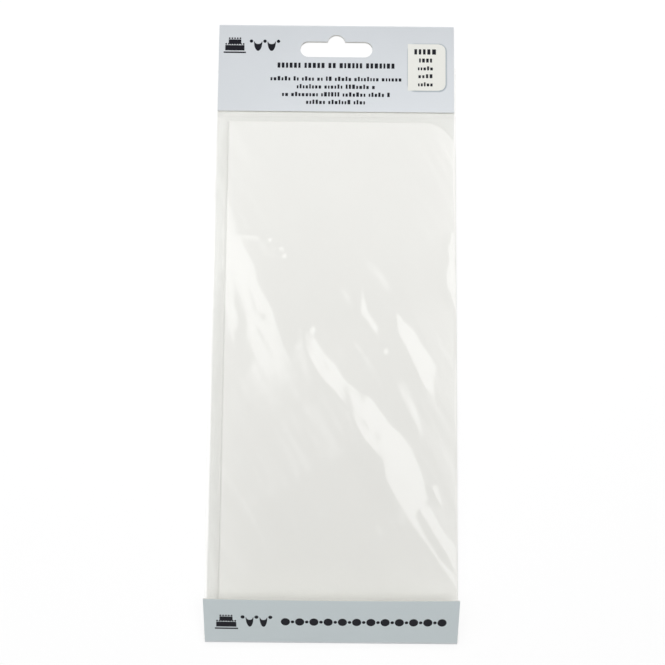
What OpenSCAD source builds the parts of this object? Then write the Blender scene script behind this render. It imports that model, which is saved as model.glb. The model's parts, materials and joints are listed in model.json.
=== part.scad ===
// An icing smoother in its hanging pack: a stiff plastic blade in a clear film bag, held by a folded card.
// The pack lies on its back. +X points right, +Y up the pack to the header, +Z out of the front.
// The origin is on the underside of the card's back panel, below the middle of the whole pack.

/* [Smoother blade] */
// Width of the blade, from the working edge to the rounded side
blade_w = 114.3; // [80:0.1:160]
// Length of the blade along its working edge
blade_len = 254; // [150:0.5:320]
// Thickness of the blade
blade_t = 2; // [1:0.1:4]
// Radius of the two rounded corners away from the working edge
corner_r = 15.9; // [6:0.1:30]
// Width of the bevel on each face of the working edge
bevel_w = 0.5; // [0.3:0.1:2]
// Depth of the bevel into the thickness, from each face
bevel_h = 0.25; // [0.1:0.05:0.48]

/* [Film bag] */
// Thickness of the film
film_t = 0.08; // [0.04:0.01:0.2]
// Room in the bag beside the blade's working edge, out to the weld
side_room = 6.5; // [3:0.1:20]
// Width of the welded bead along each side of the bag
weld_w = 0.3; // [0.2:0.05:1]
// How much thicker the welded bead is than the two films, above and below them
weld_swell = 0.04; // [0.01:0.01:0.08]
// How far the bag's mouth lies below the top fold of the card
mouth_drop = 22; // [18:0.5:26]
// Length of the bag's slope from the blade down to the header
shoulder_len = 3.2; // [1:0.1:10]

/* [Card] */
// Thickness of the board
board_t = 0.5; // [0.3:0.05:0.8]
// How far the bag stands out past the card on each side
bag_overhang = 0.9; // [0:0.1:3]
// Length of the header flap, from the top fold to its lower edge
header_len = 45.5; // [42:0.5:70]
// Length of the foot flap, from its fold to its free edge
foot_len = 25; // [12:0.5:45]
// Angle at which the foot flap stands open at rest
foot_open = 31; // [5:1:80]
// Inside radius of the card's two bends at the foot
foot_bend_in = 0.3; // [0.1:0.05:0.6]

/* [Hang slot] */
// Width of the slot, from end to end
slot_w = 36.8; // [28:0.1:50]
// Height of the slot's straight body
slot_h = 8.2; // [6:0.1:10]
// How far the slot's body lies below the top fold
slot_drop = 8.7; // [6:0.1:9]
// Radius of the round notch above the middle of the slot
notch_r = 4.6; // [3:0.1:7]
// How far the notch rises above the slot's body
notch_rise = 3.6; // [1.5:0.1:4.5]

/* [Tape] */
// Thickness of the double-sided tape
tape_t = 0.1; // [0.05:0.01:0.2]
// Width of each tape strip
tape_w = 12; // [6:0.5:15]
// How far each strip starts above the header's lower edge
tape_up = 5; // [2:0.5:8]
// How far each strip stops short of the card's side edges
tape_inset = 4; // [1:0.5:20]

/* [Clearances] */
// Gap between the blade and the film around it
blade_gap = 0.1; // [0.05:0.01:0.3]
// Gap between the bag and the card's folded foot
foot_gap = 0.2; // [0.1:0.05:0.5]
// Gap between the bag's slope and the header's lower edge
header_gap = 0.1; // [0.05:0.05:1]
// How far the blade stands above the foot of the bag
blade_lift = 0.7; // [0.1:0.1:5]
// Free travel of the blade from there up the bag, before it meets the bag's slope
slide_play = 2.4; // [0:0.1:15]

/* [Hidden] */

card_face = [0.81, 0.84, 0.85];
card_blank = [0.93, 0.94, 0.93];
film_clear = [0.95, 0.96, 0.95, 0.35];
tape_clear = [0.97, 0.95, 0.87, 0.6];
blade_white = [0.93, 0.93, 0.91];

// Heights above the ground of the layers that lie on the back panel, from the lowest up
z_back_film = board_t + tape_t;
z_front_film = z_back_film + film_t;
z_header_tape = z_front_film + film_t;
z_header = z_header_tape + tape_t;
z_blade = z_front_film + blade_gap;
z_bag_top = z_blade + blade_t + blade_gap + film_t;

// Outside height of each of the card's folds, and the outside radius of its bends
foot_h = z_bag_top + foot_gap + board_t;
foot_bend = board_t + foot_bend_in;
top_h = z_header + board_t;
top_bend = top_h / 2;

// Places along the pack, added up from the outside of the foot fold
s_bag = board_t + foot_gap;
s_blade = s_bag + film_t + blade_lift;
s_shoulder = s_blade + blade_len + slide_play + blade_gap;
s_header = s_shoulder + shoulder_len + header_gap;
pack_len = s_header + header_len;

y_foot = -pack_len / 2;
y_top = pack_len / 2;
y_bag = y_foot + s_bag;
y_mouth = y_top - mouth_drop;
y_shoulder = y_foot + s_shoulder;
y_header = y_foot + s_header;
y_tape = y_header + tape_up;

// Places across the pack: the bag is centred, and the blade lies against its right side
bag_w = weld_w + side_room + blade_w + blade_gap + film_t + weld_w;
card_w = bag_w - 2 * bag_overhang;
tape_len = card_w - 2 * tape_inset;
x_left = -bag_w / 2 + weld_w;
x_right = bag_w / 2 - weld_w;
x_blade = x_left + side_room;

// Upright thickness of the film where it falls by drop over run
function upright(drop, run) = film_t * sqrt(1 + pow(drop / run, 2));
// How far that slope's underside starts before or after its upper face does
function setback(drop, run) = (upright(drop, run) - film_t) * run / drop;

bag_rise = z_bag_top - z_header_tape;
y_slope_end = y_header - header_gap;

// Spare length of every cutting solid past what it cuts
cut = 1;

// Stretches a drawing of Y and Z along X, centred
module along_x(w) {
    translate([-w / 2, 0, 0]) rotate([90, 0, 90]) linear_extrude(w) children();
}

// Stretches a drawing of X and Z along Y, between two places
module along_y(from, to) {
    translate([0, to, 0]) rotate([90, 0, 0]) linear_extrude(to - from) children();
}

// One quarter of a bend in the board, with its outside towards side
module quarter_bend(centre, outside, side) {
    translate(centre) intersection() {
        difference() {
            circle(outside, $fn = 64);
            circle(outside - board_t, $fn = 64);
        }
        mirror([side[0] < 0 ? 1 : 0, 0]) mirror([0, side[1] < 0 ? 1 : 0]) square(outside);
    }
}

// The back panel seen from its side edge, with the foot's upright and the bends that join it to both flaps
module back_panel_profile() {
    translate([y_foot + foot_bend, 0]) square([pack_len - foot_bend - top_bend, board_t]);
    quarter_bend([y_foot + foot_bend, foot_bend], foot_bend, [-1, -1]);
    translate([y_foot, foot_bend]) square([board_t, foot_h - 2 * foot_bend]);
    quarter_bend([y_foot + foot_bend, foot_h - foot_bend], foot_bend, [-1, 1]);
    quarter_bend([y_top - top_bend, top_bend], top_bend, [1, -1]);
    quarter_bend([y_top - top_bend, top_bend], top_bend, [1, 1]);
}

// The hang slot in plan: a body with round ends and a round notch over its middle
module slot_outline() {
    end_r = slot_h / 2;
    translate([0, y_top - slot_drop - end_r]) {
        square([slot_w - slot_h, slot_h], center = true);
        for (side = [-1, 1]) translate([side * (slot_w / 2 - end_r), 0]) circle(end_r, $fn = 64);
    }
    translate([0, y_top - slot_drop + notch_rise - notch_r]) circle(notch_r, $fn = 64);
}

module hang_slot_cut() {
    translate([0, 0, -cut]) linear_extrude(top_h + 2 * cut) slot_outline();
}

module card_back_panel() {
    color(card_blank) difference() {
        along_x(card_w) back_panel_profile();
        hang_slot_cut();
    }
}

// The header flap starts where the top bend ends, so it turns about the bend's upper edge
module header_flap() {
    color(card_face) difference() {
        translate([-card_w / 2, y_header, z_header]) cube([card_w, header_len - top_bend, board_t]);
        hang_slot_cut();
    }
}

// The foot flap starts where the foot's upper bend ends, and stands open about that bend's upper edge
module foot_flap() {
    color(card_face)
        translate([0, y_foot + foot_bend, foot_h])
        rotate([foot_open, 0, 0])
        translate([-card_w / 2, 0, -board_t]) cube([card_w, foot_len - foot_bend, board_t]);
}

module bag_back_film() {
    color(film_clear)
        translate([x_left, y_bag, z_back_film])
        cube([x_right - x_left, y_mouth - y_bag, film_t]);
}

// Space under the front film's outer face, across the bag and along it
module under_film() {
    intersection() {
        along_y(y_bag, y_mouth) polygon([
            [x_left, z_front_film], [x_left, z_header_tape], [x_blade, z_bag_top],
            [x_right, z_bag_top], [x_right, z_front_film],
        ]);
        along_x(bag_w) polygon([
            [y_bag, z_front_film], [y_bag, z_bag_top], [y_shoulder, z_bag_top],
            [y_slope_end, z_header_tape], [y_mouth, z_header_tape], [y_mouth, z_front_film],
        ]);
    }
}

// Space that the front film leaves inside, open to the back film
module inside_film() {
    face = z_bag_top - film_t;
    side_low = z_header_tape - upright(bag_rise, side_room);
    side_turn = x_blade + setback(bag_rise, side_room);
    top_low = z_header_tape - upright(bag_rise, shoulder_len);
    top_turn = y_shoulder - setback(bag_rise, shoulder_len);
    floor_z = z_front_film - cut;
    intersection() {
        along_y(y_bag + film_t, y_mouth) polygon([
            [x_left, floor_z], [x_left, side_low], [side_turn, face],
            [x_right - film_t, face], [x_right - film_t, floor_z],
        ]);
        along_x(bag_w) polygon([
            [y_bag + film_t, floor_z], [y_bag + film_t, face], [top_turn, face],
            [y_slope_end, top_low], [y_slope_end, floor_z],
        ]);
    }
}

// The front film lies over the blade, slopes down to the weld and to the header, and folds under at the foot
module bag_front_film() {
    color(film_clear) difference() {
        under_film();
        inside_film();
    }
}

// A weld's section, flat towards the films and round on its outside
module weld_profile() {
    swell = 2 * film_t + 2 * weld_swell;
    round_r = min(swell / 2, weld_w);
    intersection() {
        translate([0, -swell / 2]) square([weld_w, swell]);
        union() {
            translate([0, -swell / 2]) square([weld_w - round_r, swell]);
            translate([weld_w - round_r, 0]) circle(round_r, $fn = 32);
        }
    }
}

module weld(side) {
    color(film_clear)
        along_y(y_bag, y_mouth)
        translate([side * x_right, z_front_film])
        mirror([side < 0 ? 1 : 0, 0]) weld_profile();
}

module bag_left_weld() { weld(-1); }

module bag_right_weld() { weld(1); }

module tape_strip(z) {
    color(tape_clear) translate([-tape_len / 2, y_tape, z]) cube([tape_len, tape_w, tape_t]);
}

module bag_tape() { tape_strip(board_t); }

module header_tape() { tape_strip(z_header_tape); }

// The blade in plan: square corners on the working edge at the left, round ones at the right
module blade_outline() {
    straight = blade_len - 2 * corner_r;
    square([blade_w - corner_r, blade_len]);
    translate([0, corner_r]) square([blade_w, straight]);
    for (y = [corner_r, blade_len - corner_r]) {
        translate([blade_w - corner_r, y]) circle(corner_r, $fn = 96);
    }
}

// What the working edge's bevels take off the blade's two faces
module edge_bevels() {
    for (upper = [0, 1]) {
        translate([0, 0, upper * blade_t]) mirror([0, 0, upper]) along_y(-cut, blade_len + cut)
            polygon([[-cut, -cut], [bevel_w, -cut], [bevel_w, 0], [0, bevel_h], [-cut, bevel_h]]);
    }
}

module smoother_blade() {
    color(blade_white) translate([x_blade, y_foot + s_blade, z_blade]) difference() {
        linear_extrude(blade_t) blade_outline();
        edge_bevels();
    }
}

card_back_panel();
header_flap();
foot_flap();
bag_back_film();
bag_front_film();
bag_left_weld();
bag_right_weld();
bag_tape();
header_tape();
smoother_blade();
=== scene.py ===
"""Looks of an icing smoother in its hanging pack: blade, printed folded card and wrinkled film bag."""
import json
import math
import random

import bpy
import numpy as np
from mathutils import Matrix, Vector


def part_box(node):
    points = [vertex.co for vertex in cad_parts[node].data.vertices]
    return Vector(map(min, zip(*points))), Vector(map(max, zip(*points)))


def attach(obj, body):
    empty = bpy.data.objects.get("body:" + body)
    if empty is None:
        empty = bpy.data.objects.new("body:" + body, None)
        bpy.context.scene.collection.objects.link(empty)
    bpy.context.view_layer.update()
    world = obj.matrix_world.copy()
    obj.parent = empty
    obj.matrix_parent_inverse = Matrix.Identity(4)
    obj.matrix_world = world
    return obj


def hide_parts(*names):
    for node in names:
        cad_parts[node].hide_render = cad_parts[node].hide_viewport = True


bl_info = {
    "name": "Packed Icing Smoother",
    "version": (1, 0, 0),
    "blender": (4, 5, 0),
    "location": "3D View > Sidebar > Smoother",
    "description": "Builds the card, film bag and blade of a packed icing smoother",
    "category": "Add Mesh",
}

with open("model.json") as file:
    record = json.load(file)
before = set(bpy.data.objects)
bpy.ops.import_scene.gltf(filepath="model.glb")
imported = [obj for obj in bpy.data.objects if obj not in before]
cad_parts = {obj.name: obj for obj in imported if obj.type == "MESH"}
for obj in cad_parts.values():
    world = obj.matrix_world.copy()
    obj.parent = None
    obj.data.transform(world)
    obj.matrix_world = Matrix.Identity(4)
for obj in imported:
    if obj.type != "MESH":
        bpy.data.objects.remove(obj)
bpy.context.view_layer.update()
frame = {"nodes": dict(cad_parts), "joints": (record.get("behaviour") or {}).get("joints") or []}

MM = 0.001
BLADE_LOW, BLADE_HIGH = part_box("smoother_blade")
FILM_LOW, FILM_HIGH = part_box("bag_front_film")
BACK_LOW, BACK_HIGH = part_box("bag_back_film")
PANEL_LOW, PANEL_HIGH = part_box("card_back_panel")
HEADER_LOW, HEADER_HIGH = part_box("header_flap")
HINGES = {joint["name"]: joint for joint in frame["joints"]}
HEADER_HINGE = Vector(HINGES["header_fold"]["pos_m"])
FOOT_HINGE = Vector(HINGES["foot_fold"]["pos_m"])
BOARD = HEADER_HIGH[2] - HEADER_LOW[2]
CARD_HALF = PANEL_HIGH[0]
TOP_FOLD = PANEL_HIGH[1]
FOOT_FOLD = PANEL_LOW[1]
TAPE_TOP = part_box("header_tape")[1][1]
FOOT_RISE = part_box("foot_flap")[1][2] - FOOT_HINGE.z
FOOT_OPEN = math.radians(31)
FOLD_GAP = 0.02 * MM
FOOT_FACE_LENGTH = FOOT_RISE / math.sin(FOOT_OPEN) - FOLD_GAP
HEADER_SWELL = 0.22 * MM


def rgb(red, green, blue):
    """A colour given as 0 to 255 display values, as the linear colour a shader takes."""
    channels = (value / 255 for value in (red, green, blue))
    linear = [c / 12.92 if c <= 0.04045 else ((c + 0.055) / 1.055) ** 2.4 for c in channels]
    return (*linear, 1.0)


def colour_setting(name, description, default):
    return bpy.props.FloatVectorProperty(
        name=name, description=description, default=default, subtype="COLOR", size=4, min=0, max=1
    )


def length_setting(name, description, default):
    return bpy.props.FloatProperty(
        name=name, description=description, default=default, subtype="DISTANCE", unit="LENGTH"
    )


def number_setting(name, description, default, lowest=0, highest=1):
    return bpy.props.FloatProperty(
        name=name, description=description, default=default, min=lowest, max=highest
    )


def angle_setting(name, description, degrees):
    return bpy.props.FloatProperty(
        name=name, description=description, default=math.radians(degrees), subtype="ANGLE"
    )


class CardSettings(bpy.types.PropertyGroup):
    """Sizes and colours of the folded card and its print"""

    print_colour: colour_setting("Print", "Pale blue-grey print on the card's outside", rgb(222, 226, 229))
    header_top_colour: colour_setting("Header top", "Print along the header's top fold", rgb(209, 213, 216))
    foot_colour: colour_setting("Foot print", "Print on the foot flap", rgb(219, 229, 231))
    shadow_colour: colour_setting("Badge shadow", "Printed shadow round the size badge", rgb(150, 160, 168))
    blank_colour: colour_setting("Blank", "Unprinted inside of the card", rgb(240, 241, 238))
    core_colour: colour_setting("Core", "Cut edge of the board", rgb(226, 225, 219))
    ink_colour: colour_setting("Ink", "Dark ink of the printed marks", rgb(20, 20, 29))
    badge_colour: colour_setting("Badge", "Cream ground of the printed size badge", rgb(233, 233, 226))
    ink_depth: length_setting("Ink depth", "How far the ink stands on the board", 0.015 * MM)
    flap_bow: angle_setting("Foot bow", "How much less the foot flap stands open at its ends", 1.5)


class FilmSettings(bpy.types.PropertyGroup):
    """Sizes and finish of the film bag"""

    tint: colour_setting("Tint", "Colour that one film passes", (0.995, 0.993, 0.987, 1.0))
    gloss: number_setting("Head-on gloss", "Share of light a film mirrors head on", 0.05)
    haze: number_setting("Haze", "Share of light a film scatters", 0.015)
    roughness: number_setting("Roughness", "Roughness of the film's gloss", 0.16)
    shoulder_length: length_setting("Shoulder", "Length of the film's slope up to the header", 3.2 * MM)
    edge_bridge: length_setting("Edge bridge", "How far the film runs level past the blade", 0.6 * MM)
    slope_crown: number_setting("Slope crown", "How much steeper the slope is by the weld", 0.16, 0, 0.5)
    grid_step: length_setting("Grid step", "Distance between the points of the film's mesh", 0.7 * MM)
    crease_softness: length_setting("Crease softness", "Radius over which creases round off", 0.5 * MM)
    crease_blend: number_setting("Crease blend", "How sharply one crease gives way to the next", 5, 1, 12)
    ripple_tilt: angle_setting("Ripple tilt", "How steep the fine ripples along the creases are", 0.75)


class BladeSettings(bpy.types.PropertyGroup):
    """Sizes and colours of the smoother blade"""

    colour: colour_setting("Plastic", "Off-white moulded plastic", rgb(246, 246, 242))
    corner_radius: length_setting("Corner radius", "Radius of the two rounded corners", 15.9 * MM)
    bevel_width: length_setting("Bevel width", "Width of the working edge's bevels", 0.5 * MM)
    bevel_depth: length_setting("Bevel depth", "Depth of the working edge's bevels", 0.25 * MM)
    edge_radius: length_setting("Edge radius", "Rounding of the moulded edges", 0.2 * MM)


class StudioSettings(bpy.types.PropertyGroup):
    """Camera and lights"""

    focal_length: number_setting("Focal length", "Camera lens in millimetres", 54.1, 10, 300)
    camera_place: bpy.props.FloatVectorProperty(
        name="Camera place", description="Where the camera stands", default=(-0.0012, -0.0603, 0.4914),
        subtype="TRANSLATION", unit="LENGTH",
    )
    camera_tilt: bpy.props.FloatVectorProperty(
        name="Camera tilt",
        description="The camera's turn about X, Y and Z from looking straight down",
        default=(math.radians(6.48), math.radians(-0.06), math.radians(0.54)),
        subtype="EULER",
    )
    floor_radius: length_setting("Floor radius", "Radius of the floor's flat middle", 3.0)
    sweep_radius: length_setting("Sweep radius", "Radius of the bend from floor to backdrop", 1.0)
    backdrop_height: length_setting("Backdrop height", "Height of the backdrop's top", 2.0)
    sky_level: number_setting("Sky level", "Brightness of the even light all round", 0.305, 0, 10)
    softbox_level: number_setting("Softbox level", "Radiance of the lamps the creases mirror", 2.2, 0, 100)
    top_level: number_setting("Top light level", "Radiance of the light over the upper half", 3.3, 0, 100)


def settings(name):
    return getattr(bpy.context.scene, name)


# Node helpers


def new_material(name):
    material = bpy.data.materials.new(name)
    material.use_nodes = True
    material.node_tree.nodes.clear()
    return material, material.node_tree


def add_node(tree, kind, label="", **values):
    """A node of that kind with its plain properties and unlinked sockets set by name."""
    node = tree.nodes.new(kind)
    node.label = label
    for key, value in values.items():
        if hasattr(node, key):
            setattr(node, key, value)
        else:
            node.inputs[key.replace("_", " ")].default_value = value
    return node


def plug(tree, source, socket):
    """Links the socket to another one, or sets it to a value."""
    if isinstance(source, bpy.types.NodeSocket):
        tree.links.new(source, socket)
    else:
        socket.default_value = source


def math_node(tree, operation, first, second=0.0, clamp=False):
    node = add_node(tree, "ShaderNodeMath", operation=operation, use_clamp=clamp)
    plug(tree, first, node.inputs[0])
    plug(tree, second, node.inputs[1])
    return node.outputs[0]


def mix_colours(tree, factor, first, second, blend="MIX"):
    node = add_node(tree, "ShaderNodeMix", data_type="RGBA", blend_type=blend)
    plug(tree, factor, node.inputs["Factor"])
    for source, socket in zip((first, second), [s for s in node.inputs if s.type == "RGBA"]):
        plug(tree, source, socket)
    return next(s for s in node.outputs if s.type == "RGBA")


def mix_shaders(tree, share, first, second):
    node = tree.nodes.new("ShaderNodeMixShader")
    for source, socket in zip((share, first.outputs[0], second.outputs[0]), node.inputs):
        plug(tree, source, socket)
    return node


def finish_material(material, tree, shader):
    output = tree.nodes.new("ShaderNodeOutputMaterial")
    tree.links.new(shader.outputs[0], output.inputs["Surface"])
    return material


def effect_group(name, inputs, outputs):
    """An empty node group with those sockets. inputs maps a name to its socket type and default."""
    group = bpy.data.node_groups.new(name, "ShaderNodeTree")
    for label, (kind, default) in inputs.items():
        socket = group.interface.new_socket(label, in_out="INPUT", socket_type=kind)
        socket.default_value = default
    for label, kind in outputs.items():
        group.interface.new_socket(label, in_out="OUTPUT", socket_type=kind)
    entry = group.nodes.new("NodeGroupInput")
    leave = group.nodes.new("NodeGroupOutput")
    return group, entry.outputs, leave.inputs


FLOAT = "NodeSocketFloat"
COLOUR = "NodeSocketColor"


def mottle_group():
    """Uneven tone and a fine relief, as board fibres and moulded plastic have."""
    if "Mottle" in bpy.data.node_groups:
        return bpy.data.node_groups["Mottle"]
    group, entry, leave = effect_group(
        "Mottle",
        {
            "Colour": (COLOUR, (0.8, 0.8, 0.8, 1)),
            "Patch Size": (FLOAT, 0.02),
            "Grain Size": (FLOAT, 0.0004),
            "Tone Change": (FLOAT, 0.03),
            "Roughness": (FLOAT, 0.5),
            "Roughness Change": (FLOAT, 0.08),
        },
        {"Colour": COLOUR, "Roughness": FLOAT, "Relief": FLOAT},
    )
    place = group.nodes.new("ShaderNodeTexCoord").outputs["Object"]
    patches = add_node(group, "ShaderNodeTexNoise", "Broad patches", Detail=3.0)
    grain = add_node(group, "ShaderNodeTexNoise", "Fine grain", Detail=4.0, Roughness=0.65)
    for noise_node, size in ((patches, "Patch Size"), (grain, "Grain Size")):
        group.links.new(place, noise_node.inputs["Vector"])
        group.links.new(math_node(group, "DIVIDE", 1.0, entry[size]), noise_node.inputs["Scale"])
    patch_part = math_node(group, "MULTIPLY", patches.outputs["Fac"], 0.7)
    grain_part = math_node(group, "MULTIPLY", grain.outputs["Fac"], 0.3)
    centred = math_node(group, "SUBTRACT", math_node(group, "ADD", patch_part, grain_part), 0.5)
    change = math_node(group, "MULTIPLY", centred, entry["Tone Change"])
    factor = math_node(group, "ADD", 1.0, math_node(group, "MULTIPLY", change, 2.0))
    grey = group.nodes.new("ShaderNodeCombineColor")
    for channel in grey.inputs:
        group.links.new(factor, channel)
    shaded = mix_colours(group, 1.0, entry["Colour"], grey.outputs[0], "MULTIPLY")
    group.links.new(shaded, leave["Colour"])
    rough = math_node(group, "MULTIPLY", centred, entry["Roughness Change"])
    group.links.new(math_node(group, "ADD", entry["Roughness"], rough), leave["Roughness"])
    group.links.new(grain.outputs["Fac"], leave["Relief"])
    return group


def solid_shader(
    tree, colour, roughness, grain=0.4 * MM, patch=20 * MM, tone=0.03, relief=0.02 * MM, **shader
):
    """An opaque shader with mottled tone and a fine relief. Its colour is a value or a socket."""
    mottle = add_node(
        tree, "ShaderNodeGroup", node_tree=mottle_group(), Patch_Size=patch, Grain_Size=grain,
        Tone_Change=tone, Roughness=roughness, Roughness_Change=0.1,
    )
    plug(tree, colour, mottle.inputs["Colour"])
    bump = add_node(tree, "ShaderNodeBump", Strength=0.6, Distance=relief)
    tree.links.new(mottle.outputs["Relief"], bump.inputs["Height"])
    surface = add_node(tree, "ShaderNodeBsdfPrincipled", **shader)
    tree.links.new(mottle.outputs["Colour"], surface.inputs["Base Color"])
    tree.links.new(mottle.outputs["Roughness"], surface.inputs["Roughness"])
    tree.links.new(bump.outputs["Normal"], surface.inputs["Normal"])
    return surface


def solid_material(name, colour, **finish):
    material, tree = new_material(name)
    return finish_material(material, tree, solid_shader(tree, colour, **finish))


PRINT_FINISH = {"roughness": 0.42, "tone": 0.02, "relief": 0.008 * MM, "Coat_Weight": 0.15}


def film_material(name, look):
    """Clear film: it passes light, mirrors more at a glance and scatters a little."""
    material, tree = new_material(name)
    clear = add_node(tree, "ShaderNodeBsdfTransparent", Color=look.tint)
    milky = add_node(tree, "ShaderNodeBsdfDiffuse", Color=(0.9, 0.9, 0.9, 1.0))
    hazy = mix_shaders(tree, look.haze, clear, milky)
    facing = add_node(tree, "ShaderNodeLayerWeight", Blend=0.5).outputs["Facing"]
    grazing = math_node(tree, "POWER", facing, 5.0)
    added = math_node(tree, "MULTIPLY", grazing, 1 - look.gloss)
    mirrored = math_node(tree, "ADD", added, look.gloss, clamp=True)
    gloss = add_node(tree, "ShaderNodeBsdfAnisotropic", Color=(1, 1, 1, 1), Roughness=look.roughness)
    return finish_material(material, tree, mix_shaders(tree, mirrored, hazy, gloss))


# Mesh helpers


def new_piece(name, vertices, faces, materials, face_materials=None, crease_angle=35):
    """A mesh object whose edges sharper than crease_angle degrees stay crisp."""
    mesh = bpy.data.meshes.new(name)
    mesh.from_pydata([tuple(v) for v in vertices], [], faces)
    for material in materials:
        mesh.materials.append(material)
    if face_materials:
        mesh.polygons.foreach_set("material_index", face_materials)
    mesh.polygons.foreach_set("use_smooth", [True] * len(mesh.polygons))
    mesh.update()
    mesh.validate()
    mesh.set_sharp_from_angle(angle=math.radians(crease_angle))
    piece = bpy.data.objects.new(name, mesh)
    bpy.context.scene.collection.objects.link(piece)
    return piece


def stand_for(piece, body, slot, *nodes):
    """The piece takes the place of those nodes on their body."""
    if nodes:
        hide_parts(*nodes)
    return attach(piece, body)


def grid_faces(rows, columns):
    return [
        [r * columns + c, r * columns + c + 1, (r + 1) * columns + c + 1, (r + 1) * columns + c]
        for r in range(rows - 1)
        for c in range(columns - 1)
    ]


def slab(name, rows, materials, proud=0.0, depth=BOARD):
    """A closed sheet, with materials for its outer face, inner face and cut edges.

    Its rows hold places and the directions into it. It stands proud of them and goes that deep.
    """
    outer = [point - inward * proud for row in rows for point, inward in row]
    inner = [point + inward * depth for row in rows for point, inward in row]
    back, columns = len(outer), len(rows[0])
    faces = []
    for face in grid_faces(len(rows), columns):
        faces += [face, [back + corner for corner in reversed(face)]]
    kinds = [0, 1] * (len(faces) // 2)
    rim = [*range(columns), *range(2 * columns - 1, back, columns)]
    rim += [*range(back - 2, back - columns - 1, -1), *range(back - 2 * columns, 0, -columns)]
    for this, following in zip(rim, rim[1:] + rim[:1]):
        faces.append([following, this, back + this, back + following])
        kinds.append(2)
    return new_piece(name, outer + inner, faces, materials, kinds)


def loft_faces(around, rings):
    """Faces of a closed form made of rings: its first ring, its last ring and the walls between them."""
    faces = [list(range(around))[::-1], [around * (rings - 1) + i for i in range(around)]]
    for low in range(0, around * (rings - 1), around):
        for i in range(around):
            following = (i + 1) % around
            faces.append([low + i, low + following, low + around + following, low + around + i])
    return faces


def spread(low, high, count):
    return [low + (high - low) * i / (count - 1) for i in range(count)]


def curve(x, y, radius, start, end, steps):
    """Places along an arc, between two angles in degrees."""
    angles = spread(math.radians(start), math.radians(end), steps)
    return [(x + radius * math.cos(a), y + radius * math.sin(a)) for a in angles]


def arc(centre, radius, start, end, steps):
    """Places and inward directions along an arc in the YZ plane, between two angles in degrees."""
    outward = [Vector((0, y, z)) for y, z in curve(0, 0, 1, start, end, steps)]
    return [(Vector((0, *centre)) + out * radius, -out) for out in outward]


def smooth_step(value):
    value = np.clip(value, 0.0, 1.0)
    return value * value * (3 - 2 * value)


# The hang slot


class SlotShape:
    """The hang slot as the card's maker would draw it"""

    width = 36.8 * MM
    height = 8.2 * MM
    drop = 8.7 * MM
    notch_radius = 4.6 * MM
    notch_rise = 3.6 * MM
    steps = 14


def slot_outline():
    """The slot's outline as X and Y places, counter-clockwise."""
    end = SlotShape.height / 2
    middle = TOP_FOLD - SlotShape.drop - end
    reach = SlotShape.width / 2 - end
    notch_y = middle + end + SlotShape.notch_rise - SlotShape.notch_radius
    sink = math.degrees(math.asin((middle + end - notch_y) / SlotShape.notch_radius))
    outline = curve(reach, middle, end, -90, 90, SlotShape.steps)
    outline += curve(0, notch_y, SlotShape.notch_radius, sink, 180 - sink, SlotShape.steps)
    return outline + curve(-reach, middle, end, 90, 270, SlotShape.steps)


def cut_slot(piece, low, high):
    """Punches the hang slot through the piece, between two heights."""
    outline = slot_outline()
    vertices = [(x, y, z) for z in (low, high) for x, y in outline]
    faces = loft_faces(len(outline), 2)
    punch = new_piece("slot_punch", vertices, faces, list(piece.data.materials), [2] * len(faces))
    cut = piece.modifiers.new("Hang slot", "BOOLEAN")
    cut.operation = "DIFFERENCE"
    cut.solver = "EXACT"
    cut.object = punch
    bpy.context.view_layer.update()
    shaped = bpy.data.meshes.new_from_object(piece.evaluated_get(bpy.context.evaluated_depsgraph_get()))
    piece.modifiers.clear()
    piece.data = shaped
    shaped.set_sharp_from_angle(angle=math.radians(35))
    bpy.data.objects.remove(punch)


# The card


def header_print():
    """The header's colour: a little lighter towards its lower edge, most of all at its right end, with a
    printed soft shadow round the badge.
    """
    look = settings("smoother_card")
    material, tree = new_material("header_print")
    axes = tree.nodes.new("ShaderNodeSeparateXYZ")
    tree.links.new(tree.nodes.new("ShaderNodeTexCoord").outputs["Object"], axes.inputs[0])
    fall = math_node(tree, "SUBTRACT", TOP_FOLD, axes.outputs["Y"])
    # How far the tone has changed at the lower edge: at its middle, and how much more at its right end
    at_middle, more_at_right = 0.72, 0.25
    slant = math_node(tree, "MULTIPLY", axes.outputs["X"], more_at_right / CARD_HALF)
    lean = math_node(tree, "ADD", slant, at_middle)
    fallen = math_node(tree, "DIVIDE", fall, TOP_FOLD - HEADER_LOW[1])
    share = math_node(tree, "MULTIPLY", fallen, lean, clamp=True)
    graded = mix_colours(tree, share, look.header_top_colour, look.print_colour)
    half = (Badge.right - Badge.left) / 2 - Badge.corner, (Badge.bottom - Badge.top) / 2 - Badge.corner
    middle_x = (Badge.right + Badge.left) / 2 + Badge.offset
    middle_y = TOP_FOLD - (Badge.bottom + Badge.top) / 2 - Badge.offset
    beyond = []
    for axis, middle, reach in zip("XY", (middle_x, middle_y), half):
        away = math_node(tree, "ABSOLUTE", math_node(tree, "SUBTRACT", axes.outputs[axis], middle))
        past = math_node(tree, "MAXIMUM", math_node(tree, "SUBTRACT", away, reach), 0.0)
        beyond.append(math_node(tree, "MULTIPLY", past, past))
    distance = math_node(tree, "SQRT", math_node(tree, "ADD", *beyond))
    edge = math_node(tree, "SUBTRACT", distance, Badge.corner)
    faded = math_node(tree, "DIVIDE", edge, Badge.shadow, clamp=True)
    shade = math_node(tree, "SUBTRACT", 1.0, faded, clamp=True)
    strength = math_node(tree, "MULTIPLY", shade, Badge.shadow_strength)
    shaded = mix_colours(tree, strength, graded, look.shadow_colour)
    return finish_material(material, tree, solid_shader(tree, shaded, **PRINT_FINISH))


def card_materials():
    look = settings("smoother_card")
    return [
        solid_material("printed_board", look.print_colour, **PRINT_FINISH),
        solid_material("blank_board", look.blank_colour, roughness=0.7),
        solid_material(
            "board_edge", look.core_colour, roughness=0.85, grain=0.15 * MM, tone=0.12, relief=0.05 * MM
        ),
    ]


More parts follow.
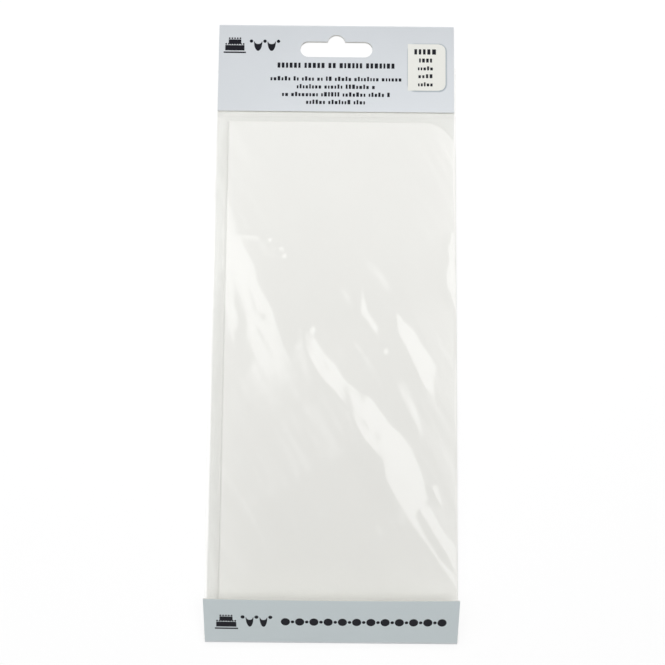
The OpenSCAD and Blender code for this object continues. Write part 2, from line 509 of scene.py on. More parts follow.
def back_panel_stations():
    """The back panel's outer face from the foot's upper bend, under the pack and up to the header."""
    foot_bend = FOOT_HINGE.y - FOOT_FOLD
    foot_top = FOOT_HINGE.z
    top_bend = TOP_FOLD - HEADER_HINGE.y
    stations = arc((FOOT_FOLD + foot_bend, foot_top - foot_bend), foot_bend, 90, 180, 7)
    stations += arc((FOOT_FOLD + foot_bend, foot_bend), foot_bend, 180, 270, 7)
    for y in spread(FOOT_FOLD + foot_bend, TOP_FOLD - top_bend, 62)[1:-1]:
        stations.append((Vector((0, y, 0)), Vector((0, 0, 1))))
    stations += arc((TOP_FOLD - top_bend, top_bend), top_bend, -90, 90, 13)
    return stations


def header_lift(x, y):
    """How far the header swells between its tape and the top fold, at a place on its outer face."""
    along = min(max((HEADER_HINGE.y - y) / (HEADER_HINGE.y - TAPE_TOP), 0), 1)
    across = x / CARD_HALF
    less_at_sides = 0.35
    return HEADER_SWELL * math.sin(math.pi * along) ** 2 * (1 - less_at_sides * across * across)


def header_face(x, y):
    """A place on the header's outer face and the direction into the board."""
    return Vector((x, y, HEADER_HIGH[2] + header_lift(x, y))), Vector((0, 0, -1))


def foot_face(x, up):
    """A place on the foot flap's outer face, up the flap from its fold, and the direction into the board."""
    look = settings("smoother_card")
    open_angle = FOOT_OPEN - look.flap_bow * (x / CARD_HALF) ** 2
    along = Vector((0, math.cos(open_angle), math.sin(open_angle)))
    return FOOT_HINGE + Vector((x, 0, 0)) + along * (up + FOLD_GAP), Vector((0, along.z, -along.y))


class SMOOTHER_OT_card(bpy.types.Operator):
    """Folds the card: back panel, header flap and foot flap"""

    bl_idname = "smoother.card"
    bl_label = "Folded card"

    def execute(self, context):
        look = settings("smoother_card")
        materials = card_materials()
        columns = spread(-CARD_HALF, CARD_HALF, 25)
        rows = [
            [(point + Vector((x, 0, 0)), inward) for x in reversed(columns)]
            for point, inward in back_panel_stations()
        ]
        panel = slab("back_panel", rows, materials)
        cut_slot(panel, -BOARD, BOARD + HEADER_LOW[2] / 2)
        stand_for(panel, "pack", "card_board", "card_back_panel")

        rows = [[header_face(x, y) for x in columns] for y in spread(HEADER_LOW[1], HEADER_HINGE.y, 30)]
        header = slab("header_card", rows, [header_print(), *materials[1:]])
        cut_slot(header, HEADER_LOW[2] - BOARD, HEADER_HIGH[2] + 2 * BOARD)
        stand_for(header, "header", "card_print", "header_flap")

        rows = [[foot_face(x, up) for x in columns] for up in spread(0, FOOT_FACE_LENGTH, 18)]
        print_face = solid_material("foot_print", look.foot_colour, **PRINT_FINISH)
        foot = slab("foot_card", rows, [print_face, *materials[1:]])
        stand_for(foot, "foot", "card_print", "foot_flap")
        return {"FINISHED"}


# The print


class PrintedMarks:
    """Flat printed marks that follow a face of the card, gathered into one thin closed mesh"""

    def __init__(self, face, thickness):
        self.face = face
        self.thickness = thickness
        self.vertices = []
        self.faces = []

    def add(self, outline):
        """One mark, from its counter-clockwise outline of places across and up the face."""
        first = len(self.vertices)
        for side in (1, -1):
            for across, up in outline:
                point, inward = self.face(across, up)
                self.vertices.append(point + inward * self.thickness * side)
        self.faces += [[first + corner for corner in face] for face in loft_faces(len(outline), 2)]

    def piece(self, name, material):
        return new_piece(name, self.vertices, self.faces, [material], crease_angle=30)


def disc(x, y, radius, steps):
    return curve(x, y, radius, 0, 360, steps + 1)[:-1]


def bar(left, right, low, high, chamfer=0.12 * MM):
    """A block with its corners cut, as a run of greeked lettering has."""
    return [
        (left + chamfer, low), (right - chamfer, low), (right, low + chamfer), (right, high - chamfer),
        (right - chamfer, high), (left + chamfer, high), (left, high - chamfer), (left, low + chamfer),
    ]


def greek_line(marks, left, right, low, high, seed, bold=False):
    """A line of meaningless word shapes that fills the stretch from left to right."""
    draw = random.Random(seed)
    size = high - low
    letters = []
    at = 0.0
    while at < right - left:
        for _ in range(draw.choice((2, 4, 5, 6, 7, 8))):
            width = size * draw.uniform(0.34, 0.62)
            tall = bold or draw.random() < 0.34
            letters.append((at, at + width, 1.0 if tall else 0.72))
            at += width + size * 0.26
        at += size * 0.45
    letters = [letter for letter in letters if letter[1] <= right - left]
    stretch = (right - left) / letters[-1][1]
    for start, end, height in letters:
        marks.add(bar(left + start * stretch, left + end * stretch, low, low + size * height))


# Lines of text: left, right, bottom and top below the top fold, in millimetres, and bold or not
HEADER_LINES = (
    (-29.9, 29.6, 22.7, 20.0, True),
    (-33.4, 33.1, 29.4, 27.1, False),
    (-20.0, 19.6, 33.5, 31.2, False),
    (-27.4, 27.2, 37.6, 35.3, False),
    (-15.2, 14.7, 41.6, 39.3, False),
)
BADGE_LINES = (
    (39.7, 50.7, 15.1, 12.3, True),
    (42.1, 48.7, 19.3, 17.2, False),
    (41.5, 49.1, 23.4, 21.3, False),
    (41.8, 48.9, 27.5, 25.4, False),
    (41.6, 49.0, 31.8, 29.7, False),
)


def greek_lines(marks, lines, first_seed):
    for seed, (left, right, bottom, top, bold) in enumerate(lines, first_seed):
        greek_line(marks, left * MM, right * MM, TOP_FOLD - bottom * MM, TOP_FOLD - top * MM, seed, bold)


def cake_mark(marks, left, low, width, height):
    """A small two-tier cake on its board, with beads of icing round each tier."""
    middle = left + width / 2
    board_height = height * 0.09
    marks.add(bar(left, left + width, low, low + board_height))
    tiers = ((0.86, 0.16, 0.5), (0.56, 0.57, 0.86))
    for share, bottom, top in tiers:
        half = width * share / 2
        marks.add(bar(middle - half, middle + half, low + height * bottom, low + height * top))
        bead = height * 0.055
        count = int(2 * half / (2.4 * bead))
        for x in spread(middle - half + bead, middle + half - bead, count):
            marks.add(disc(x, low + height * top + bead * 1.35, bead, 12))


def swag_mark(marks, left, right, low, high, count):
    """A row of piped swags, each a crescent between two dots."""
    pitch = (right - left) / count
    dot = (high - low) * 0.13
    for i in range(count):
        start = left + pitch * i
        centre = start + pitch / 2
        reach = pitch / 2 - 1.5 * dot
        top = high - 1.2 * dot
        deep = (high - low) * 0.74
        shallow = (high - low) * 0.2
        angles = spread(math.pi, math.tau, 15)
        outline = [(centre + reach * math.cos(a), top + deep * math.sin(a)) for a in angles]
        inner = reach * 0.86
        outline += [(centre + inner * math.cos(a), top + shallow * math.sin(a)) for a in reversed(angles)]
        marks.add(outline)
    for i in range(count + 1):
        marks.add(disc(left + pitch * i, high - dot, dot, 14))


def pearl_row(marks, left, right, middle, large, small):
    """A border of large and small piped pearls by turns."""
    pairs = round((right - left - 2 * large) / (2 * large + 2 * small + 0.9 * MM))
    pitch = (right - left - 2 * large) / pairs
    for i in range(pairs + 1):
        marks.add(disc(left + large + pitch * i, middle, large, 28))
    for i in range(pairs):
        marks.add(disc(left + large + pitch * (i + 0.5), middle, small, 16))


class Badge:
    """The cream size badge printed at the header's right, as places below the top fold"""

    left = 36.4 * MM
    right = 55.6 * MM
    top = 9.6 * MM
    bottom = 34.1 * MM
    corner = 3.6 * MM
    thickness = 0.03 * MM
    shadow = 0.8 * MM
    shadow_strength = 0.9
    offset = 0.2 * MM


def badge_face(x, y):
    point, inward = header_face(x, y)
    return point - inward * Badge.thickness, inward


def badge_edge(y):
    """The badge's right edge at a height on the header, with its two rounded corners."""
    high = TOP_FOLD - Badge.top
    low = TOP_FOLD - Badge.bottom
    near = min(high - y, y - low, Badge.corner)
    return Badge.right - Badge.corner + math.sqrt(max(Badge.corner**2 - (Badge.corner - near) ** 2, 0))


class SMOOTHER_OT_print(bpy.types.Operator):
    """Prints generic marks on the header, its badge and the foot"""

    bl_idname = "smoother.print"
    bl_label = "Print"

    def execute(self, context):
        look = settings("smoother_card")
        ink = solid_material(
            "print_ink", look.ink_colour, roughness=0.38, tone=0.15, relief=0.003 * MM,
            Specular_IOR_Level=0.22,
        )
        cream = solid_material("badge_print", look.badge_colour, roughness=0.4, tone=0.02, relief=0.006 * MM)

        low, high = TOP_FOLD - Badge.bottom, TOP_FOLD - Badge.top
        turns = spread(0, Badge.corner, 8)
        heights = [low + t for t in turns] + spread(low + Badge.corner, high - Badge.corner, 9)[1:-1]
        heights += [high - t for t in reversed(turns)]
        rows = [[header_face(x, y) for x in spread(Badge.left, badge_edge(y), 9)] for y in heights]
        badge = slab("size_badge", rows, [cream] * 3, proud=Badge.thickness, depth=Badge.thickness)
        stand_for(badge, "header", "card_print")

        header = PrintedMarks(header_face, look.ink_depth)
        cake_mark(header, left=-57.5 * MM, low=TOP_FOLD - 15.2 * MM, width=11.4 * MM, height=8.4 * MM)
        swag_mark(header, -43.4 * MM, -29.6 * MM, TOP_FOLD - 14.7 * MM, TOP_FOLD - 7.9 * MM, count=2)
        greek_lines(header, HEADER_LINES, first_seed=40)
        stand_for(header.piece("header_marks", ink), "header", "card_print")

        badge = PrintedMarks(badge_face, look.ink_depth)
        greek_lines(badge, BADGE_LINES, first_seed=60)
        stand_for(badge.piece("badge_marks", ink), "header", "card_print")

        foot = PrintedMarks(foot_face, look.ink_depth)
        cake_mark(foot, left=-54.9 * MM, low=7.1 * MM, width=11 * MM, height=8.4 * MM)
        swag_mark(foot, -41.6 * MM, -28.6 * MM, 7.8 * MM, 15.2 * MM, count=2)
        pearl_row(foot, -23.7 * MM, 54.2 * MM, middle=11.7 * MM, large=2.15 * MM, small=0.85 * MM)
        stand_for(foot.piece("foot_marks", ink), "foot", "card_print")
        return {"FINISHED"}


# The blade


class SMOOTHER_OT_blade(bpy.types.Operator):
    """Moulds the blade: bevelled working edge at the left, rounded corners at the right"""

    bl_idname = "smoother.blade"
    bl_label = "Smoother blade"

    def execute(self, context):
        look = settings("smoother_blade")
        material = solid_material(
            "blade_plastic", look.colour, roughness=0.36, grain=0.7 * MM, patch=45 * MM,
            relief=0.006 * MM, IOR=1.49,
        )
        depths = {look.edge_radius * (1 - math.cos(a)) for a in spread(0, math.pi / 2, 5)}
        depths.add(look.bevel_depth)
        levels = [BLADE_LOW[2] + depth for depth in sorted(depths)]
        levels += [BLADE_HIGH[2] - depth for depth in sorted(depths, reverse=True)]
        flat_inset = 0.35 * MM
        loops = [(BLADE_LOW[2], flat_inset)] + [(z, 0.0) for z in levels] + [(BLADE_HIGH[2], flat_inset)]
        vertices = []
        for z, inset in loops:
            depth = min(z - BLADE_LOW[2], BLADE_HIGH[2] - z)
            bevel = look.bevel_width * max(0, 1 - depth / look.bevel_depth)
            rest = max(look.edge_radius - depth, 0)
            rounding = look.edge_radius - math.sqrt(max(look.edge_radius**2 - rest**2, 0))
            vertices += [(x, y, z) for x, y in self.outline(inset + bevel, inset + rounding)]
        faces = loft_faces(len(vertices) // len(loops), len(loops))
        blade = new_piece("blade", vertices, faces, [material], crease_angle=20)
        stand_for(blade, "blade", "blade", "smoother_blade")
        return {"FINISHED"}

    @staticmethod
    def outline(left_inset, inset):
        """The blade in plan, counter-clockwise from its lower left corner, drawn in by those amounts."""
        look = settings("smoother_blade")
        left = BLADE_LOW[0] + left_inset
        right, low, high = BLADE_HIGH[0] - inset, BLADE_LOW[1] + inset, BLADE_HIGH[1] - inset
        radius = look.corner_radius - inset
        points = [(x, low) for x in spread(left, right - radius, 8)[:-1]]
        points += curve(right - radius, low + radius, radius, -90, 0, 19)
        points += curve(right - radius, high - radius, radius, 0, 90, 19)
        return points + [(x, high) for x in spread(right - radius, left, 8)[1:]]


# The film bag


class Crease:
    """A fold in the film: a facet that falls away from a crest, and a long fading back on the other side.

    The crest's points hold the place, the facet's width there, both in millimetres, and its tilt in degrees.
    """

    def __init__(self, faces_right, *crest, back_share=0.55):
        self.side = 1 if faces_right else -1
        self.crest = crest
        self.back_share = back_share

    def relief(self, x, y):
        start, end = Vector(self.crest[0][:2]) * MM, Vector(self.crest[-1][:2]) * MM
        along = (end - start).normalized()
        across = Vector((-along.y, along.x)) * self.side
        s = (x - start.x) * along.x + (y - start.y) * along.y
        t = (x - start.x) * across.x + (y - start.y) * across.y
        marks = [Vector(point[:2]) * MM - start for point in self.crest]
        stations = [mark.dot(along) for mark in marks]
        crest = np.interp(s, stations, [mark.dot(across) for mark in marks])
        width = np.interp(s, stations, [point[2] * MM for point in self.crest], left=0, right=0)
        slope = np.interp(s, stations, [math.tan(math.radians(point[3])) for point in self.crest])
        front = slope * (crest + width - t)
        fall = np.clip(1 - (crest - t) * self.back_share / (2 * np.maximum(width, 0.01 * MM)), 0, 1)
        return np.clip(np.where(t > crest, front, slope * width * fall**2), 0, None)


CREASES = (
    Crease(
        False, (-55, 66, 1, 4), (-52, 56, 3, 4.5), (-50, 50, 5.5, 4.5), (-46, 41.5, 9.5, 5),
        (-42.5, 35, 13, 5), (-40, 30, 15, 5), (-37.5, 20, 16, 5.2), (-32, 8, 15, 5.6), (-28, -3, 14, 6),
        (-24, -13, 14, 5.8), (-21, -21, 15, 5), (-20, -28, 11, 4.5), (-20, -34, 4, 4.2), (-20, -38, 0.5, 4),
    ),
    Crease(
        False, (-53, 42, 0.5, 4), (-51.5, 30, 3, 4.5), (-50.5, 20, 4.5, 4.5), (-49, 11, 5.5, 4.5),
        (-47.5, 3, 5, 5), (-47.5, -4, 3, 5), (-48, -11, 0.5, 5),
    ),
    Crease(
        True, (-17, 4, 0.5, 11), (-16, -4, 5, 11.5), (-14.5, -11, 8.5, 11.5), (-12.8, -16, 9.5, 11.5),
        (-10, -22, 10, 11.2), (-5.5, -28, 9.5, 10.8), (0, -33.5, 8.5, 10.4), (5, -38.5, 10, 10),
        (9.5, -43, 11.6, 9.5), (12.5, -51, 13.5, 9), (15, -58, 16, 8.5), (20, -62.5, 16, 8.2),
        (23.5, -67, 16, 8), (26, -76, 17, 7.4), (29, -83, 16.5, 7), (34, -90.5, 12.5, 7), (37, -95, 7, 7.5),
        (40, -99, 5, 8), (47, -108, 4, 8), (50, -113.5, 2.8, 8.5), (56, -122.5, 2.2, 9), (60.5, -130, 1.6, 9),
        back_share=0.4,
    ),
    Crease(
        True, (40, -87, 0.5, 6), (42, -92, 5, 6.6), (48, -102, 5, 6.6), (56, -112, 4.6, 6.4),
        (59.5, -120, 1, 6),
    ),
    Crease(
        True, (30.5, 5, 1, 7), (31.5, -3, 6.4, 7), (34, -9, 8, 7), (36.5, -14, 8.4, 6.8),
        (39.5, -20, 9.2, 6.4), (42, -25, 9.6, 6.2), (45, -31, 4, 6), (48, -36, 0.5, 6),
    ),
    Crease(
        True, (57.8, 46, 0.5, 5), (57, 38, 4, 5), (56, 28, 5, 4.5), (55.6, 18, 5, 4.5), (58, 11, 2.5, 4),
        (60, 8, 0.5, 4),
    ),
)
# Narrow creases that ride on the others
PLEATS = (
    Crease(True, (-41, 0, 0.3, 4), (-38, -5, 1.6, 6), (-34, -11, 0.3, 5)),
    Crease(True, (-45, 24, 0.2, 2), (-41, 10, 1, 3.5), (-37, -2, 0.2, 3)),
    Crease(True, (12.5, 19, 0.5, 8), (13.5, 6, 3.2, 8.5), (18, -3, 4.2, 6.6), (23, -12, 0.5, 5)),
    Crease(True, (8, -8, 0.5, 4.4), (13, -18, 4, 4.8), (21, -31, 3.4, 4.6), (26, -40, 0.5, 4.2)),
    Crease(True, (24, -18, 0.5, 3.6), (29, -28, 4.4, 4.1), (37, -44, 4, 4.1), (43, -58, 0.5, 3.6)),
    Crease(True, (44, -79, 0.4, 8), (48.5, -80.5, 2.2, 10), (52.5, -90, 0.4, 8)),
    Crease(False, (21, -52, 0.2, 3), (23.5, -57, 1.2, 4), (22, -60, 0.2, 3)),
)
# Broad soft folds that only shimmer, and how many times they are softened
SWELLS = (
    Crease(
        True, (1.5, 20, 0.5, 6), (3.5, 15.5, 3.4, 6.4), (7, 9.2, 4, 6.6), (11, 2.5, 3.4, 6.4),
        (14, -2, 0.5, 6),
    ),
    Crease(
        True, (12, 33, 0.5, 5), (15, 29, 3.4, 5.4), (19, 24, 3.8, 5.6), (23.5, 18.5, 3, 5.4),
        (26, 14.5, 0.5, 5),
    ),
)
SWELL_PASSES = 14
# Small dents that glint: place and radius in millimetres
DENTS = (
    (-38.0, 43.3, 2.3), (-33.6, 41.4, 2.2), (-27.8, 36.9, 2.1), (-26.3, 33.2, 2.1), (-35.6, 2.7, 1.3),
    (-11.8, -3.7, 2.1), (24.3, -14.0, 2.1),
)
# A dent's height as a share of its radius, how much longer its left flank is, and how fast it falls away
DENT_HEIGHT, DENT_FLANK, DENT_FALL = 0.25, 4, 1.6
# How far the film may hang below its taut shape
DEEPEST_SAG = 0.08 * MM
# The direction of the creases
STREAK = Vector((0.5, -0.87)).normalized()


def waves(x, y, seed, shortest, longest, count, stretch, tilt):
    """Seeded waves drawn out along the creases, each as steep as the others, with that tilt between them."""
    draw = random.Random(seed)
    along = x * STREAK.x + y * STREAK.y
    across = y * STREAK.x - x * STREAK.y
    steepness = math.tan(tilt) / math.sqrt(count / 2)
    total = np.zeros_like(x)
    for _ in range(count):
        length = shortest * (longest / shortest) ** draw.random()
        wave = math.tau / length
        lean = draw.uniform(-1, 1) / stretch
        total += steepness / wave * np.sin(wave * (across + lean * along) + draw.uniform(0, math.tau))
    return total


def soften(heights, passes):
    """Rounds the sheet off. Each pass mixes a point with its four neighbours."""
    for _ in range(passes):
        padded = np.pad(heights, 1, mode="edge")
        around = padded[:-2, 1:-1] + padded[2:, 1:-1] + padded[1:-1, :-2] + padded[1:-1, 2:]
        heights = (around + 4 * heights) / 8
    return heights


def bend(x, y, seed):
    """How far the creases stray from their lines, in broad waves and fine ones."""
    broad = waves(x, y, seed + 20, 20 * MM, 60 * MM, count=6, stretch=1.2, tilt=math.radians(3))
    fine = waves(x, y, seed + 5, 5 * MM, 14 * MM, count=6, stretch=1.2, tilt=math.radians(12))
    return broad + fine


def film_relief(x, y):
    """How far the front film stands over its taut shape."""
    look = settings("smoother_film")
    bent_x, bent_y = x + bend(x, y, 11), y + bend(x, y, 12)
    blend = look.crease_blend
    relief = sum(crease.relief(bent_x, bent_y) ** blend for crease in CREASES) ** (1 / blend)
    relief += sum(pleat.relief(bent_x, bent_y) for pleat in PLEATS)
    relief += waves(x, y, 13, 3.5 * MM, 22 * MM, count=12, stretch=6, tilt=look.ripple_tilt)
    relief += waves(x, y, 14, 40 * MM, 110 * MM, count=5, stretch=2, tilt=math.radians(0.4))
    relief = soften(np.maximum(relief, -DEEPEST_SAG), round(look.crease_softness / look.grid_step * 2))
    relief += soften(sum(swell.relief(bent_x, bent_y) for swell in SWELLS), SWELL_PASSES)
    for dent_x, dent_y, radius in DENTS:
        across = (x - dent_x * MM) / np.where(x < dent_x * MM, DENT_FLANK, 1)
        away = (across**2 + (y - dent_y * MM) ** 2) / (radius * MM) ** 2
        relief += DENT_HEIGHT * radius * MM * np.exp(-away * DENT_FALL)
    return relief


class LeftSide:
    """The bag's left side: bellied out along its middle, drawn in towards the blade by the header"""

    pull = 1.5 * MM
    pull_start = 45 * MM
    pull_length = 62 * MM
    belly = 0.8 * MM
    belly_start = -160 * MM
    belly_length = 100 * MM


def drawn_in(y):
    """How far the bag's left side is drawn in towards the blade."""
    pull = LeftSide.pull * smooth_step((y - LeftSide.pull_start) / LeftSide.pull_length)
    return pull - LeftSide.belly * smooth_step((y - LeftSide.belly_start) / LeftSide.belly_length)


class FilmFit:
    """How the front film meets what is round it, and over what lengths its wrinkles fade out there"""

    back_gap = 0.02 * MM
    header_gap = 0.14 * MM
    lip_gap = 0.1 * MM
    wall_reach = 0.3 * MM
    # The steep sides at the right and the foot: millimetres in from the film's edge, and share of its height
    wall = ((0.23, 0.985), (0.1, 0.9), (0.06, 0.5), (0.02, 0.1), (0.0, 0.0))
    foot_fade = 9 * MM
    header_fade = 6 * MM
    right_fade = 1.2 * MM
    left_fade = 1.5 * MM


def film_sheet(name, x, y, z, material):
    """A film through a grid of places, drawn in along its left side."""
    side_room = BLADE_LOW[0] - x.min()
    x = x + drawn_in(y) * np.clip((BLADE_LOW[0] - x) / side_room, 0, 1)
    vertices = np.stack([x, y, z], axis=-1).reshape(-1, 3)
    return new_piece(name, vertices.tolist(), grid_faces(*x.shape), [material], crease_angle=60)


class SMOOTHER_OT_film(bpy.types.Operator):
    """Makes the bag: wrinkled front film, back film, the welds at its sides and its tape"""

    bl_idname = "smoother.film"
    bl_label = "Film bag"

    def execute(self, context):
        look = settings("smoother_film")
        material = film_material("clear_film", look)
        stand_for(self.front_film(look, material), "pack", "film", "bag_front_film")
        stand_for(self.back_film(material), "pack", "film", "bag_back_film")
        for side, name in ((-1, "bag_left_weld"), (1, "bag_right_weld")):
            stand_for(self.weld(side, name, material), "pack", "film", name)
        tape = solid_material(
            "tape_adhesive", rgb(232, 226, 206), roughness=0.3, grain=2 * MM, tone=0.06,
            Alpha=0.55, Coat_Weight=0.2,
        )
        for name in ("bag_tape", "header_tape"):
            strip = frame["nodes"][name]
            strip.data.materials.clear()
            strip.data.materials.append(tape)
        return {"FINISHED"}

    @staticmethod
    def front_film(look, material):
        fit = FilmFit
        low = BACK_HIGH[2] + fit.back_gap
        film_half = (BACK_HIGH[2] - BACK_LOW[2]) / 2
        rise = FILM_HIGH[2] - film_half - low
        header_share = (HEADER_LOW[2] - fit.header_gap - low) / rise
        slope_end = HEADER_LOW[1] - fit.lip_gap
        slope_top = slope_end - look.shoulder_length
        steps_x = round((BLADE_HIGH[0] - BLADE_LOW[0]) / look.grid_step)
        steps_y = round((slope_top - BLADE_LOW[1]) / look.grid_step)
        slope_room = BLADE_LOW[0] - FILM_LOW[0] - look.edge_bridge
        columns = []
        for x in spread(FILM_LOW[0], BLADE_LOW[0], 23)[:-1]:
            up = min((x - FILM_LOW[0]) / slope_room, 1)
            columns.append((x, header_share + (1 - header_share) * (up + look.slope_crown * up * (1 - up))))
        columns += [(x, 1) for x in spread(BLADE_LOW[0], BLADE_HIGH[0] - fit.wall_reach, steps_x)]
        columns += [(FILM_HIGH[0] - inset * MM, share) for inset, share in fit.wall]
        rows = [(FILM_LOW[1] + inset * MM, share) for inset, share in reversed(fit.wall)]
        rows += [(y, 1) for y in spread(BLADE_LOW[1] + fit.wall_reach, slope_top, steps_y)]
        for y in spread(slope_top, slope_end, 6)[1:]:
            rows.append((y, 1 + (header_share - 1) * (y - slope_top) / look.shoulder_length))
        rows += [(y, header_share) for y in spread(slope_end, FILM_HIGH[1], 24)[1:]]
        x, y = np.meshgrid([c[0] for c in columns], [r[0] for r in rows])
        share = np.outer([r[1] for r in rows], [c[1] for c in columns])
        flap_reach = FOOT_FACE_LENGTH + FOOT_HINGE.y
        fade = smooth_step((y - flap_reach) / fit.foot_fade) * smooth_step((slope_top - y) / fit.header_fade)
        fade *= smooth_step((FILM_HIGH[0] - x) / fit.right_fade)
        fade *= smooth_step((x - FILM_LOW[0]) / fit.left_fade)
        return film_sheet("front_film", x, y, low + rise * share + film_relief(x, y) * fade, material)

    @staticmethod
    def back_film(material):
        x, y = np.meshgrid(spread(BACK_LOW[0], BACK_HIGH[0], 90), spread(BACK_LOW[1], BACK_HIGH[1], 180))
        ripple = waves(x, y, 21, 6 * MM, 20 * MM, count=8, stretch=3, tilt=math.radians(0.6))
        highest = 0.02 * MM
        z = (BACK_LOW[2] + BACK_HIGH[2]) / 2 + np.clip(ripple, -highest, highest)
        return film_sheet("back_film", x, y, z, material)

    @staticmethod
    def weld(side, name, material):
        low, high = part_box(name)
        centre = Vector(((low[0] + high[0]) / 2, 0, (low[2] + high[2]) / 2))
        draw = random.Random(30 + side)
        around = 8
        lengths = spread(low[1], high[1], 190)
        vertices = []
        for y in lengths:
            swell = draw.uniform(0.75, 1.0)
            shift = float(drawn_in(y)) if side < 0 else 0
            for a in spread(math.tau, 0, around + 1)[:-1]:
                across = (high[0] - low[0]) / 2 * swell * math.cos(a)
                up = (high[2] - low[2]) / 2 * swell * math.sin(a)
                vertices.append((centre.x + shift + across, y, centre.z + up))
        faces = loft_faces(around, len(lengths))
        return new_piece(name.replace("bag_", ""), vertices, faces, [material], crease_angle=80)


# The stage


# Lamps that the film mirrors: name, place, size, share of the softbox level, lights matt surfaces or not
SOFTBOXES = (
    ("right_softbox", (0.4, 0.05, 1.0), (0.34, 0.8), 1.0, True),
    ("left_softbox", (-0.4, 0.05, 1.0), (0.34, 0.6), 0.88, True),
    ("left_halo", (-0.4, 0.05, 1.0), (0.5, 0.85), 0.3, False),
    ("right_halo", (0.4, 0.05, 1.0), (0.5, 1.05), 0.3, False),
    ("side_fill", (-0.82, 0.245, 0.64), (0.36, 0.15), 0.8, True),
    ("side_glow", (-0.835, -0.125, 0.625), (0.3, 0.65), 0.55, True),
    ("upper_glow", (-0.905, 0.35, 0.53), (0.3, 0.3), 0.55, False),
)


def area_light(name, place, size, level, aim=(0, 0, 0)):
    """A softbox of that radiance and those sizes along X and Y, turned towards a place."""
    light = bpy.data.lights.new(name, "AREA")
    light.shape = "RECTANGLE"
    light.size, light.size_y = size
    light.energy = level * 4 * size[0] * size[1]
    lamp = bpy.data.objects.new(name, light)
    back = (Vector(place) - Vector(aim)).normalized()
    across = Vector((0, 1, 0)).cross(back).normalized()
    turn = Matrix((across, back.cross(across), back)).transposed()
    lamp.matrix_world = Matrix.Translation(place) @ turn.to_4x4()
    lamp.visible_camera = False
    bpy.context.scene.collection.objects.link(lamp)
    return lamp


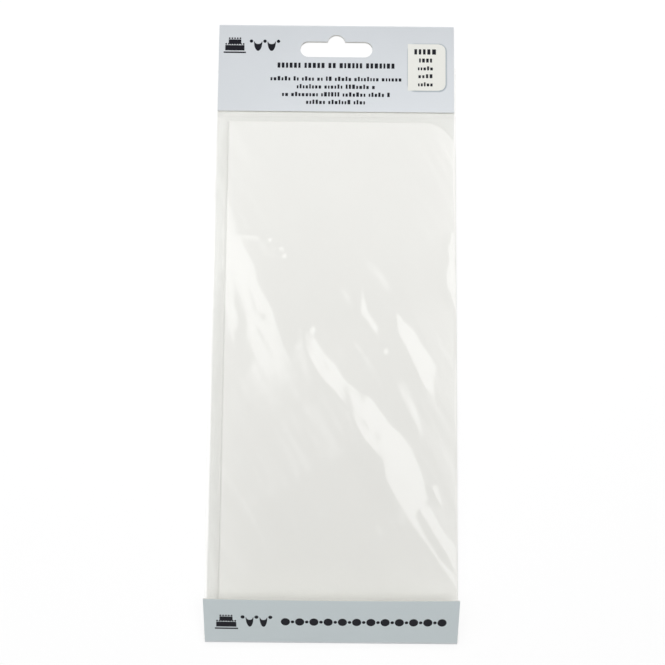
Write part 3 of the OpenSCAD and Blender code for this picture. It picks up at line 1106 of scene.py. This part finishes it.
class SMOOTHER_OT_stage(bpy.types.Operator):
    """Sets up the floor, the camera and the lights"""

    bl_idname = "smoother.stage"
    bl_label = "Stage"

    def execute(self, context):
        look = settings("smoother_studio")
        scene = context.scene
        scene.view_settings.view_transform = "Standard"

        camera_data = bpy.data.cameras.new("camera")
        camera_data.lens = look.focal_length
        camera_data.sensor_width = 36
        camera_data.clip_start = 0.01
        camera = bpy.data.objects.new("camera", camera_data)
        tilt = [Matrix.Rotation(angle, 4, axis) for angle, axis in zip(look.camera_tilt, "XYZ")]
        camera.matrix_world = Matrix.Translation(look.camera_place) @ tilt[0] @ tilt[1] @ tilt[2]
        scene.collection.objects.link(camera)
        scene.camera = camera

        self.floor(look.floor_radius, look.sweep_radius, look.backdrop_height)

        scene.world = self.sky(look.sky_level)
        for name, place, size, share, matt_too in SOFTBOXES:
            area_light(name, place, size, look.softbox_level * share).visible_diffuse = matt_too
        top_light = area_light("top_light", (0.0, 0.25, 0.45), (0.3, 0.2), look.top_level, aim=(0, 0.1, 0))
        top_light.visible_glossy = False
        top_light.data.color = (0.99, 0.995, 1.03)
        return {"FINISHED"}

    def floor(self, flat, sweep, height):
        """A round pale floor that sweeps up into a low wall, with no horizon to see."""
        ground = PANEL_LOW[2] - 0.2 * MM
        profile = [(0.0, ground), (flat, ground)]
        for angle in spread(0, math.pi / 2, 16)[1:]:
            profile.append((flat + sweep * math.sin(angle), ground + sweep * (1 - math.cos(angle))))
        profile.append((flat + sweep, height))
        around = 96
        turns = spread(0, math.tau, around + 1)[:-1]
        vertices = [(0, 0, ground)]
        vertices += [(r * math.cos(a), r * math.sin(a), z) for r, z in profile[1:] for a in turns]
        faces = [[0, 1 + i, 1 + (i + 1) % around] for i in range(around)]
        for ring in range(len(profile) - 2):
            for i in range(around):
                near, far = 1 + ring * around, 1 + (ring + 1) * around
                faces.append([near + i, far + i, far + (i + 1) % around, near + (i + 1) % around])
        return new_piece("floor", vertices, faces, [self.floor_material()])

    @staticmethod
    def floor_material():
        material, tree = new_material("floor")
        paper = add_node(tree, "ShaderNodeBsdfDiffuse", Color=(0.92, 0.92, 0.92, 1))
        glow = add_node(tree, "ShaderNodeEmission", Color=(1, 1, 1, 1), Strength=1.06)
        path = tree.nodes.new("ShaderNodeLightPath")
        seen = path.outputs["Is Camera Ray"]
        for ray in ("Is Glossy Ray", "Is Transmission Ray"):
            seen = math_node(tree, "ADD", seen, path.outputs[ray], clamp=True)
        glow_share = math_node(tree, "MULTIPLY", seen, 0.8)
        return finish_material(material, tree, mix_shaders(tree, glow_share, paper, glow))

    @staticmethod
    def sky(level):
        """Even pale light from all round, a little brighter beyond the foot of the pack."""
        world = bpy.data.worlds.new("sky")
        world.use_nodes = True
        tree = world.node_tree
        tree.nodes.clear()
        place = tree.nodes.new("ShaderNodeTexCoord").outputs["Generated"]
        axes = tree.nodes.new("ShaderNodeSeparateXYZ")
        tree.links.new(place, axes.inputs[0])
        lean = math_node(tree, "MULTIPLY", axes.outputs["Y"], -0.3)
        strength = math_node(tree, "MULTIPLY", math_node(tree, "ADD", lean, 1.0), level)
        shine = add_node(tree, "ShaderNodeBackground", Color=(1.0, 1.0, 1.0, 1.0))
        tree.links.new(strength, shine.inputs["Strength"])
        output = tree.nodes.new("ShaderNodeOutputWorld")
        tree.links.new(shine.outputs[0], output.inputs[0])
        return world


# The add-on

SETTINGS = (
    ("smoother_card", CardSettings),
    ("smoother_film", FilmSettings),
    ("smoother_blade", BladeSettings),
    ("smoother_studio", StudioSettings),
)
OPERATORS = (
    SMOOTHER_OT_stage,
    SMOOTHER_OT_card,
    SMOOTHER_OT_print,
    SMOOTHER_OT_blade,
    SMOOTHER_OT_film,
)


class SMOOTHER_PT_panel(bpy.types.Panel):
    """Lists the pieces and the settings behind them"""

    bl_label = "Packed Icing Smoother"
    bl_space_type = "VIEW_3D"
    bl_region_type = "UI"
    bl_category = "Smoother"

    def draw(self, context):
        for operator in OPERATORS:
            self.layout.operator(operator.bl_idname)
        for name, group in SETTINGS:
            box = self.layout.box()
            for field in group.__annotations__:
                box.prop(getattr(context.scene, name), field)


def register():
    for name, group in SETTINGS:
        bpy.utils.register_class(group)
        setattr(bpy.types.Scene, name, bpy.props.PointerProperty(type=group))
    for made in (*OPERATORS, SMOOTHER_PT_panel):
        bpy.utils.register_class(made)


def unregister():
    for made in reversed((*OPERATORS, SMOOTHER_PT_panel)):
        bpy.utils.unregister_class(made)
    for name, group in reversed(SETTINGS):
        delattr(bpy.types.Scene, name)
        bpy.utils.unregister_class(group)


def main():
    register()
    for piece in ("stage", "card", "print", "blade", "film"):
        getattr(bpy.ops.smoother, piece)()


if __name__ == "__main__":
    main()
